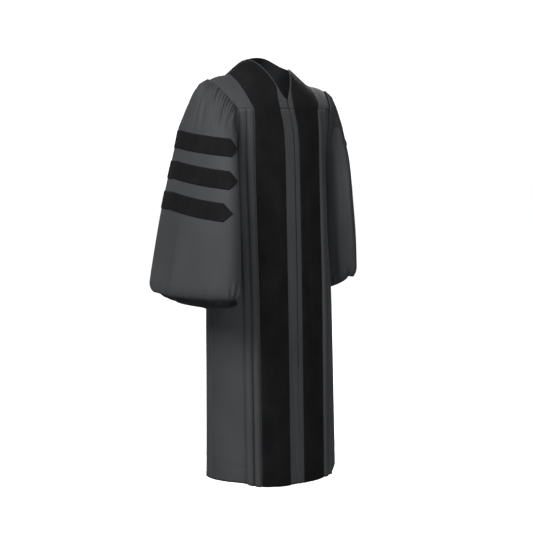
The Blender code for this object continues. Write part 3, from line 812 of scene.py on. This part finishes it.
def make_cloth(name, grid, material, thickness, inside, outward=False, closed=False):
    """A thin shell through a grid of points around the point inside.

    A shell that grows outward is a laid strip, whose two long edges are rolled down.
    """
    rows, columns = grid.shape[:2]
    index = np.arange(rows * columns).reshape(rows, columns)
    if closed:
        index = np.concatenate([index, index[:, :1]], axis=1)
    quads = np.stack([index[:-1, :-1], index[:-1, 1:], index[1:, 1:], index[1:, :-1]], axis=-1)
    quads = quads.reshape(-1, 4)
    flat = grid.reshape(-1, 3)
    corners = flat[quads]
    normal = np.cross(corners[:, 2] - corners[:, 0], corners[:, 3] - corners[:, 1])
    facing = (normal * (corners.mean(axis=1) - inside)).sum()
    if facing < 0.0:
        quads = quads[:, ::-1]
    mesh = bpy.data.meshes.new(name)
    mesh.from_pydata(flat.tolist(), [], quads.tolist())
    attribute = mesh.attributes.new("lay", "FLOAT_VECTOR", "POINT")
    lay = np.ascontiguousarray(lay_of(grid).reshape(-1, 3), dtype=np.float32)
    attribute.data.foreach_set("vector", lay.ravel())
    mesh.shade_smooth()
    piece = new_piece(name, mesh, material)
    solid = piece.modifiers.new("thickness", "SOLIDIFY")
    solid.thickness = thickness
    solid.offset = 1.0 if outward else -1.0
    if outward:
        roll_edges(piece, solid, rows, columns)
    return piece


def roll_edges(piece, solid, rows, columns):
    """Thins a laid strip towards its long edges."""
    group = piece.vertex_groups.new(name="pile")
    across = columns if rows > columns else rows
    place_in = np.arange(rows * columns)
    place_in = place_in % columns if rows > columns else place_in // columns
    from_edge = np.minimum(place_in, across - 1 - place_in)
    for distance, weight in enumerate(EDGE_THICKNESS):
        chosen = np.nonzero(from_edge == distance)[0]
        group.add(chosen.tolist(), weight, "REPLACE")
    group.add(np.nonzero(from_edge >= len(EDGE_THICKNESS))[0].tolist(), 1.0, "REPLACE")
    solid.vertex_group = "pile"


def make_beads(name, centres, ways, ups, size, material):
    """Many small rounded bars in one piece: stitches, or the teeth of a zip."""
    length, width, height = size
    sides = np.cross(ways, ups)
    foot = [(a * BEAD_FOOT_SHARE, b * BEAD_FOOT_SHARE, BEAD_FOOT) for a, b, _ in BEAD_RING]
    corners = np.array(foot + list(BEAD_RING) + [(0.0, 0.0, BEAD_TOP)])
    ring = len(BEAD_RING)
    verts = centres[:, None, :] + corners[None, :, 0, None] * length * ways[:, None, :]
    verts = verts + corners[None, :, 1, None] * width * sides[:, None, :]
    verts = verts + corners[None, :, 2, None] * height * ups[:, None, :]
    faces = []
    for bead in range(len(centres)):
        start = bead * len(corners)
        for i in range(ring):
            j = (i + 1) % ring
            faces.append((start + i, start + j, start + ring + j, start + ring + i))
            faces.append((start + ring + i, start + ring + j, start + 2 * ring))
        faces.append(tuple(start + i for i in reversed(range(ring))))
    mesh = bpy.data.meshes.new(name)
    mesh.from_pydata(verts.reshape(-1, 3).tolist(), [], faces)
    lay = mesh.attributes.new("lay", "FLOAT_VECTOR", "POINT")
    lay.data.foreach_set("vector", verts.astype(np.float32).ravel())
    mesh.shade_smooth()
    piece = new_piece(name, mesh, material)
    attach(piece, "root")


def along_line(values, run, at):
    """Rows of values at distances along a line whose points lie at run."""
    return np.stack([np.interp(at, run, values[:, k]) for k in range(3)], axis=-1)


def stitches_along(name, line, outward, spacing):
    """A row of stitches on a line of points, with the outward direction at each."""
    steps = np.linalg.norm(np.diff(line, axis=0), axis=-1)
    run = np.concatenate([[0.0], np.cumsum(steps)])
    at = np.arange(spacing / 2.0, run[-1], spacing)
    centres = along_line(line, run, at)
    ups = unit(along_line(outward, run, at))
    ways = unit(along_line(line, run, at + STITCH_REACH) - along_line(line, run, at - STITCH_REACH))
    size = (spacing * STITCH_SHARE, STITCH_WIDTH, STITCH_HEIGHT)
    make_beads(name, centres, ways, ups, size, THREAD)


def lay_of(grid):
    """Coordinates in metres along the two ways of a grid."""
    across = np.linalg.norm(np.diff(grid, axis=1), axis=-1)
    across = np.concatenate([np.zeros((len(grid), 1)), np.cumsum(across, axis=1)], axis=1)
    across = np.broadcast_to(across.mean(axis=0), grid.shape[:2])
    down = np.linalg.norm(np.diff(grid, axis=0), axis=-1)
    down = np.concatenate([np.zeros((1, grid.shape[1])), np.cumsum(down, axis=0)], axis=0)
    down = np.broadcast_to(down.mean(axis=1, keepdims=True), grid.shape[:2])
    return points(across, down, 0.0)


def place(piece, node):
    """The piece stands for its CAD node, which is hidden, and hangs from the root."""
    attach(piece, "root")
    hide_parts(node)


def groove_stops(start, end):
    """Stops that crowd at the two grooves of one flute."""
    width = end - start
    return [start] + [start + width * share for share in GROOVE_STOPS]


def panel_columns(side, face):
    """Columns of one side of a panel with the height of their top ends."""
    grooves = flute_grooves(side, face)
    stops = []
    if face < 0:
        stops += [0.0, BANDS[side].inner, BANDS[side].outer]
    for start, end in zip(grooves, grooves[1:]):
        stops += groove_stops(start, end)
    stops.append(grooves[-1])
    if stops[-1] < SIDE_X:
        stops.append(SIDE_X)
    columns = spread(stops, COLUMN_STEP)
    turn_start = float(arm_column(0.0))
    columns = np.append(columns, mix(SIDE_X, turn_start, np.array([0.5])))
    steps = spread([0.0, 0.9, 1.0], ARM_STEP)
    tops = np.append(np.full(len(columns), SEAM_Z), arm_edge_z(steps))
    return np.append(columns, arm_column(steps)), tops


def panel_grid(side, face):
    """Points of one side of a panel, from the chest seam to the hem."""
    columns, tops = panel_columns(side, face)
    below = spread([0.0, TOP_ROWS, BODY_DROP], ROW_STEP)[:, None]
    x = np.abs(plain_body_point(side, face, columns, tops)[..., 0])
    z = mix(tops, hem_z(side, x), below / BODY_DROP)
    columns = np.broadcast_to(columns, z.shape).copy()
    if face < 0:
        start = opening_edge(side, z)
        inner = BANDS[side].inner
        share = np.clip(columns / inner, 0.0, 1.0)
        columns = np.where(columns < inner, mix(start, inner, share), columns)
    return body_point(side, face, columns, z)


def make_front_panel(side, label):
    """A fluted front, from the chest seam to the hem."""
    grid = panel_grid(side, -1)
    piece = make_cloth("cloth_front_panel_" + label, grid, CHARCOAL, CLOTH, BODY_MIDDLE)
    place(piece, "front_panel_" + label)


def make_back_panel():
    """The fluted back in one piece, from side seam to side seam."""
    right = panel_grid(-1, 1)
    left = panel_grid(1, 1)
    keep_right = right[0, :, 0] < 0.0
    keep_left = left[0, :, 0] > 0.0
    grid = np.concatenate([right[:, keep_right][:, ::-1], left[:, keep_left]], axis=1)
    piece = make_cloth("cloth_back_panel", grid, CHARCOAL, CLOTH, BODY_MIDDLE)
    place(piece, "back_panel")


def yoke_front_grid(side, first, last, out=0.0):
    """Rows of a front yoke up to the shoulder seam, across its strips first to last.

    Strip 0 is the neck edge, strip 1 lies under the velvet, and strip 2 ends at the armhole.
    """
    angles = spread([0.0, V_BOTTOM_ANGLE, 90.0], YOKE_ANGLE_STEP)[:, None]
    band = BANDS[side]
    neck = neck_x(side, angles)
    inner = np.maximum(neck + NECK_EDGE, band.inner)
    outer = mix(band.outer, BAND_SHOULDER_X, np.sin(np.radians(angles)))
    edges = [neck, inner, outer, arm_x(angles)]
    columns = []
    for part in range(first, last):
        shares = np.arange(YOKE_COLUMNS[part]) / YOKE_COLUMNS[part]
        columns.append(mix(edges[part], edges[part + 1], shares))
    columns.append(edges[last])
    x = np.concatenate(columns, axis=1)
    grid = yoke_point(side, x, angles, out)
    if not np.any(out):
        grid[..., 1] -= RIDGE_SETBACK * (angles / 90.0) ** RIDGE_SETBACK_POWER
    return grid


def yoke_back_grid(side, first, last, out=0.0):
    """Rows of one side of the back yoke, from the shoulder seam to the centre back."""
    total = BACK_ARM_STEPS + BACK_SEAM_STEPS
    steps = spread([0.0, BACK_ARM_STEPS, total], YOKE_BACK_STEP)[:, None]
    turn = math.pi / 2.0 * steps / total
    rings = [(NECK_HALF_WIDTH, NAPE_ANGLE)]
    rings += [(NECK_HALF_WIDTH + NECK_EDGE, BAND_NECK_ANGLE), (BAND_SHOULDER_X, BAND_BACK_ANGLE)]
    pairs = [(x * np.cos(turn), 90.0 + angle * np.sin(turn)) for x, angle in rings]
    angle = np.minimum(90.0 + 90.0 * steps / BACK_ARM_STEPS, 180.0)
    seam_x = ARM_SEAM_X * (total - steps) / BACK_SEAM_STEPS
    edge_x = np.where(steps <= BACK_ARM_STEPS, arm_x(angle), seam_x)
    pairs.append((edge_x, angle))
    xs, angles = [], []
    for part in range(first, last):
        shares = np.arange(YOKE_COLUMNS[part]) / YOKE_COLUMNS[part]
        xs.append(mix(pairs[part][0], pairs[part + 1][0], shares))
        angles.append(mix(pairs[part][1], pairs[part + 1][1], shares))
    xs.append(pairs[last][0])
    angles.append(pairs[last][1])
    x = np.concatenate(xs, axis=1)
    angle = np.maximum(np.concatenate(angles, axis=1), 90.01)
    grid = yoke_point(side, x, angle, out)
    if not np.any(out):
        grid[0, :, 1] += RIDGE_SETBACK / 2.0
    return grid


def make_yokes():
    """Both front yokes, and the back yoke in one piece."""
    for side, label in SIDES:
        grid = yoke_front_grid(side, 0, 3)
        piece = make_cloth("cloth_yoke_front_" + label, grid, CHARCOAL, CLOTH, YOKE_MIDDLE)
        place(piece, "yoke_front_" + label)
    grid = np.concatenate([yoke_back_grid(-1, 0, 3), yoke_back_grid(1, 0, 3)[-2::-1]])
    piece = make_cloth("cloth_yoke_back", grid, CHARCOAL, CLOTH, YOKE_MIDDLE)
    place(piece, "yoke_back")


def make_band(side, label):
    """A velvet band on the front panel, the front yoke and the back yoke's neck."""
    band = BANDS[side]
    columns = mix(band.inner, band.outer, np.arange(YOKE_COLUMNS[1] + 1) / YOKE_COLUMNS[1])
    below = spread([BODY_DROP, TOP_ROWS, 0.004], ROW_STEP)[:, None]
    x = np.abs(plain_body_point(side, -1, columns, SEAM_Z)[..., 0])
    z = mix(SEAM_Z, hem_z(side, x), below / BODY_DROP)
    panel = body_point(side, -1, columns, z, LAY_GAP)
    front = yoke_front_grid(side, 1, 2, LAY_GAP)
    back = yoke_back_grid(side, 1, 2, LAY_GAP)[1:]
    back[-1, :, 0] = side * SEAM_GAP / 2.0
    grid = np.concatenate([panel, front, back])
    name = "velvet_band_" + label
    piece = make_cloth(name + "_pile", grid, VELVET_BLACK, VELVET, YOKE_MIDDLE, outward=True)
    place(piece, name)


def sleeve_middle(side):
    """A point inside the sleeve."""
    section = section_at(SLEEVES[side], BAR_Z[1])
    return np.array((side * section.x, section.y, BAR_Z[1]))


def make_sleeve(side, label):
    """A bell sleeve, closed round."""
    turns = np.arange(0.0, 360.0, SLEEVE_TURN_STEP)
    head = spread([0.0, 0.1, 1.0], HEAD_STEP)[:-1]
    levels = np.append(head, spread([HEAD_Z, CUFF_Z[side]], SLEEVE_STEP))[:, None]
    grid = sleeve_point(side, turns, levels)
    name = "sleeve_" + label
    piece = make_cloth("cloth_" + name, grid, CHARCOAL, CLOTH, sleeve_middle(side), closed=True)
    place(piece, name)


def level_at(side, turn, z):
    """The sleeve's level at height z."""
    top = plain_sleeve_point(side, turn, 0.0)[..., 2]
    head = plain_sleeve_point(side, turn, HEAD_Z)[..., 2]
    foot = plain_sleeve_point(side, turn, CUFF_Z[side])[..., 2]
    low = mix(HEAD_Z, CUFF_Z[side], (z - head) / (foot - head))
    return np.where(z >= head, (z - top) / (head - top), low)


def bar_turns(side, height, ends):
    """Turns across a bar with their run from the sleeve's outer line."""
    turns = np.linspace(-180.0, 180.0, 1441)
    line = plain_sleeve_point(side, turns, height)
    run = np.concatenate([[0.0], np.cumsum(np.linalg.norm(np.diff(line, axis=0), axis=-1))])
    run -= run[len(run) // 2]
    stops = [ends.back, ends.back + BAR_POINT, ends.front - BAR_POINT, ends.front]
    runs = spread(stops, BAR_STEP)
    return np.interp(runs, run, turns), runs


def make_bar(side, label, number):
    """A velvet bar across a sleeve, lower at the front, with a point at each end."""
    ends = BAR_ENDS[side][number - 1]
    turns, runs = bar_turns(side, BAR_Z[number - 1], ends)
    left = np.minimum(runs - ends.back, ends.front - runs)
    half = BAR_HALF_HEIGHT * np.clip(left / BAR_POINT, BAR_TIP_SHARE, 1.0)
    middle = BAR_Z[number - 1] - BAR_TILT * np.maximum(runs, BAR_LEVEL_RUN)
    shares = spread([1.0, -1.0], BAR_ROW_STEP)[:, None]
    grid = sleeve_point(side, turns, level_at(side, turns, middle + shares * half), BAR_GAP)
    name = "sleeve_bar_%s_%d" % (label, number)
    inside = sleeve_middle(side)
    piece = make_cloth(name + "_pile", grid, VELVET_BLACK, VELVET, inside, outward=True)
    place(piece, name)


def centre_front_y(z):
    """Distance forward of the cloth at the front opening."""
    up = np.clip((z - SEAM_Z) / (ridge_z(1, 0.0) - SEAM_Z), 0.0, 1.0)
    sine = up ** (YOKE_FRONT_ROUND / 2.0)
    yoke = BODY[0].front * np.sqrt(1.0 - sine * sine) ** (2.0 / YOKE_FRONT_ROUND)
    return np.where(z > SEAM_Z, yoke, section_at(BODY, z).front)


def make_zip():
    """Tapes behind the two fronts, and the closed chain between them."""
    heights = spread([ZIP_TOP_Z, ZIP_END_Z], ZIP_ROW_STEP)
    y = -centre_front_y(heights) + CLOTH + ZIP_SETBACK + LAY_GAP
    inner = CHAIN_WIDTH / 2.0 + SEAM_GAP
    strips = (
        ("zip_tape_right", -TAPE_WIDTH, -inner, TAPE),
        ("zip_tape_left", inner, TAPE_WIDTH, TAPE),
        ("zip_chain", -CHAIN_WIDTH / 2.0, CHAIN_WIDTH / 2.0, CHAIN_THICKNESS),
    )
    for name, start, end, thickness in strips:
        columns = CLOSURE_X + spread([start, end], ZIP_COLUMN_STEP)
        columns = columns + lean(CLOSURE_X, heights[:, None])
        grid = points(columns, y[:, None], heights[:, None])
        look = ZIP_CHAIN if name == "zip_chain" else ZIP_TAPE
        piece = make_cloth(name + "_woven", grid, look, thickness, BODY_MIDDLE)
        place(piece, name)


def make_teeth():
    """The coil teeth of the closed zip, left and right in turn."""
    heights = np.arange(ZIP_TOP_Z - 0.002, ZIP_END_Z + 0.002, -TOOTH_PITCH)
    y = -centre_front_y(heights) + CLOTH + ZIP_SETBACK + LAY_GAP
    swing = np.where(np.arange(len(heights)) % 2, TOOTH_SWING, -TOOTH_SWING)
    centres = points(CLOSURE_X + lean(CLOSURE_X, heights) + swing, y, heights)
    ways = np.broadcast_to((1.0, 0.0, 0.0), centres.shape)
    ups = np.broadcast_to((0.0, -1.0, 0.0), centres.shape)
    make_beads("zip_teeth", centres, ways, ups, TOOTH_SIZE, ZIP_CHAIN)


def stitch_yoke(name, side, x, angle):
    """A row of seam stitches on the yoke."""
    line = yoke_point(side, x, angle, STITCH_LIFT)
    stitches_along(name, line, yoke_normal(side, x, angle), SEAM_STITCH)


def make_stitching():
    """Edge stitching on the yokes and armholes, and the stitches of the hem and cuffs."""
    for side, label in SIDES:
        x = spread([BANDS[side].outer + STITCH_CLEAR, ARM_SEAM_X - ARM_CLEAR], 0.004)
        stitch_yoke("chest_stitches_" + label, side, x, np.full(len(x), YOKE_STITCH_ANGLE))
        x = np.linspace(0.0, ARM_SEAM_X - ARM_CLEAR, 51)
        angle = np.full(len(x), 180.0 - YOKE_STITCH_ANGLE)
        stitch_yoke("back_yoke_stitches_" + label, side, x, angle)
        angle = spread([4.0, 90.0, 173.0], 1.5)
        stitch_yoke("armhole_stitches_" + label, side, arm_x(angle) - SEAM_ALLOWANCE, angle)
        for face, end in ((-1, "front"), (1, "back")):
            first = BANDS[side].outer + STITCH_CLEAR if face < 0 else 0.0
            turned = spread([SIDE_X + 0.05, SIDE_X + 0.99], 0.03)
            column = np.append(spread([first, SIDE_X], 0.002), turned)
            plain_x = np.abs(plain_body_point(side, face, column, HEM_Z)[..., 0])
            z = hem_z(side, plain_x) + HEM_LINE
            line = body_point(side, face, column, z, STITCH_LIFT)
            name = "hem_stitches_%s_%s" % (end, label)
            stitches_along(name, line, body_normal(side, face, column, z), HEM_STITCH)
        turns = np.linspace(-180.0, 180.0, 361)
        level = CUFF_Z[side] + CUFF_LINE
        line = sleeve_point(side, turns, level, STITCH_LIFT)
        outward = sleeve_normal(side, turns, level)
        stitches_along("cuff_stitches_" + label, line, outward, HEM_STITCH)


# Stage, light and camera
def stage_piece(name, mesh, glow):
    """A white surface that the camera sees and that throws no light on the gown."""
    made, tree, shader = new_material(name, (STAGE_TONE,) * 3, 0.9)
    grain = tree.nodes.new("ShaderNodeTexNoise")
    grain.inputs["Scale"].default_value = 3.0
    low, high = (STAGE_TONE - 0.01,) * 3, (STAGE_TONE + 0.01,) * 3
    tone = colour_between(tree, grain.outputs["Fac"], low, high)
    tree.links.new(tone, shader.inputs["Base Color"])
    shader.inputs["Emission Color"].default_value = (1.0, 1.0, 1.0, 1.0)
    shader.inputs["Emission Strength"].default_value = glow
    piece = new_piece(name, mesh, made)
    piece.visible_diffuse = False
    piece.visible_glossy = False
    piece.visible_shadow = False
    piece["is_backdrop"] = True


def make_stage():
    """A pale floor, and a white dome for the background."""
    floor = bpy.data.meshes.new("floor")
    turns = np.linspace(0.0, 2.0 * math.pi, FLOOR_SIDES + 1)[:-1]
    ring = points(STAGE_RADIUS * np.cos(turns), STAGE_RADIUS * np.sin(turns), FLOOR_Z)
    floor.from_pydata(ring.tolist(), [], [tuple(range(FLOOR_SIDES))])
    stage_piece("floor", floor, FLOOR_GLOW)
    dome = bmesh.new()
    bmesh.ops.create_uvsphere(dome, u_segments=48, v_segments=24, radius=STAGE_RADIUS)
    mesh = bpy.data.meshes.new("backdrop")
    dome.to_mesh(mesh)
    dome.free()
    stage_piece("backdrop", mesh, BACKDROP_GLOW)


def make_light():
    """Soft studio light: a weak world, and area lights that the camera doesn't see."""
    bpy.context.scene.view_settings.view_transform = "Standard"
    world = bpy.data.worlds.new("studio")
    bpy.context.scene.world = world
    world.use_nodes = True
    back = world.node_tree.nodes["Background"]
    back.inputs["Color"].default_value = (1.0, 1.0, 1.0, 1.0)
    back.inputs["Strength"].default_value = WORLD_STRENGTH
    for row in LIGHTS:
        data = bpy.data.lights.new(row.name, "AREA")
        data.shape = "RECTANGLE"
        data.size, data.size_y = row.size
        data.energy = row.watts
        light = bpy.data.objects.new(row.name, data)
        bpy.context.scene.collection.objects.link(light)
        light.location = row.place
        light.visible_camera = False
        light.rotation_mode = "QUATERNION"
        way = Vector(row.aim) - Vector(row.place)
        light.rotation_quaternion = way.to_track_quat("-Z", "Y")


def make_camera():
    """The camera at the photo's angle, fitted to its outline."""
    data = bpy.data.cameras.new("camera")
    camera = bpy.data.objects.new("camera", data)
    bpy.context.scene.collection.objects.link(camera)
    bpy.context.scene.camera = camera
    data.sensor_width = SENSOR
    data.lens = SENSOR * CAMERA_FOCAL / FRAME_PIXELS
    azimuth = math.radians(CAMERA_AZIMUTH)
    camera.location = (
        math.sin(azimuth) * CAMERA_DISTANCE,
        -math.cos(azimuth) * CAMERA_DISTANCE,
        CAMERA_Z,
    )
    heading = Matrix.Rotation(azimuth + math.radians(CAMERA_YAW), 3, "Z")
    pitch = Matrix.Rotation(math.radians(90.0 - CAMERA_PITCH), 3, "X")
    roll = Matrix.Rotation(math.radians(CAMERA_ROLL), 3, "Z")
    camera.rotation_mode = "QUATERNION"
    camera.rotation_quaternion = (heading @ pitch @ roll).to_quaternion()


# The scene: the default objects go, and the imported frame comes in
for name in ("Cube", "Light", "Camera"):
    if name in bpy.data.objects:
        bpy.data.objects.remove(bpy.data.objects[name], do_unlink=True)
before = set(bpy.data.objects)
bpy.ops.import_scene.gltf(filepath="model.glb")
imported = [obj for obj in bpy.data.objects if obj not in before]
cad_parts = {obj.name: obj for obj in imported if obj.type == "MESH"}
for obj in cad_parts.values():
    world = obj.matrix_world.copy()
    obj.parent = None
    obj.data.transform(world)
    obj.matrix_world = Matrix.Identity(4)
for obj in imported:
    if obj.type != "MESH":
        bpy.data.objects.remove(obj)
cad_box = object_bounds()
CHARCOAL = charcoal_cloth()
VELVET_BLACK = black_velvet()
THREAD = grained("thread", THREAD_COLOUR, 0.55, THREAD_TWIST, 0.0001, 0.6)
ZIP_TAPE = grained("zip_tape", TAPE_COLOUR, 0.85, TAPE_WEAVE, 0.0002, 0.8)
ZIP_CHAIN = grained("zip_chain", CHAIN_COLOUR, 0.40, CHAIN_GRAIN, 0.0001, 0.3)
make_camera()
make_light()
make_stage()
make_yokes()
make_back_panel()
for side, label in SIDES:
    make_front_panel(side, label)
    make_band(side, label)
    make_sleeve(side, label)
    for number in range(1, len(BAR_Z) + 1):
        make_bar(side, label, number)
make_zip()
make_teeth()
make_stitching()

bpy.context.view_layer.update()
model_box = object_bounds()
boxes = {"cad": cad_box, "visual": model_box}
boxes = {name: [list(corner) for corner in box] for name, box in boxes.items()}
